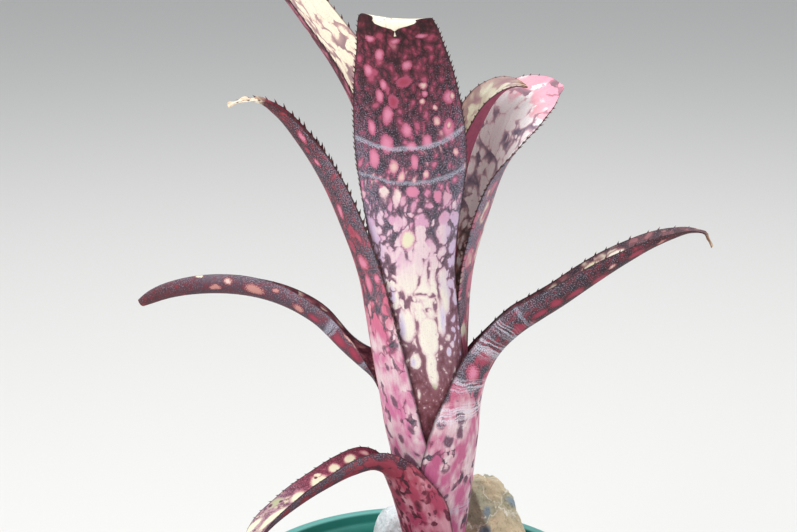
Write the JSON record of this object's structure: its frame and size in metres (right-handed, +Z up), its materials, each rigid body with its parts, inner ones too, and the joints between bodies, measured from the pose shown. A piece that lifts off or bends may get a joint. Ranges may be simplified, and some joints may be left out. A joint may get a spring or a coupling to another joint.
{
  "type": "potted billbergia",
  "caption": "Tubular bromeliad with spotted burgundy strap leaves, spiny margins and curled tips, standing in a round green nursery pot with stones on the soil.",
  "frame": {"origin": "middle of the pot's flat underside", "axes": "+Z up along the pot's axis; the plant's pictured front faces -Y, and +X is to the right in that view"},
  "size_m": [0.2476, 0.16, 0.4115],
  "materials": {
    "pot_plastic": "satin teal-green polypropylene",
    "potting_mix": "damp fine bark",
    "stem_tissue": "dry and fibrous",
    "leaf_blade": "leathery, satin, burgundy with cream and pink spots and fine grey scurf",
    "rock": "rough tan rock with grey patches and quartz",
    "white_stone": "matt, bluish white"
  },
  "bodies": {
    "root": {"pot": "pot_plastic", "soil": "potting_mix", "stem": "stem_tissue", "leaf_low_front": "leaf_blade", "leaf_low_left": "leaf_blade", "leaf_low_right": "leaf_blade", "leaf_arch_left": "leaf_blade", "leaf_centre": "leaf_blade", "leaf_back_right": "leaf_blade", "leaf_back_left": "leaf_blade", "leaf_inner_right": "leaf_blade", "rock_tan": "rock", "stone_white": "white_stone", "stone_white_left": "white_stone", "stone_white_right": "white_stone"}
  },
  "joints": []
}
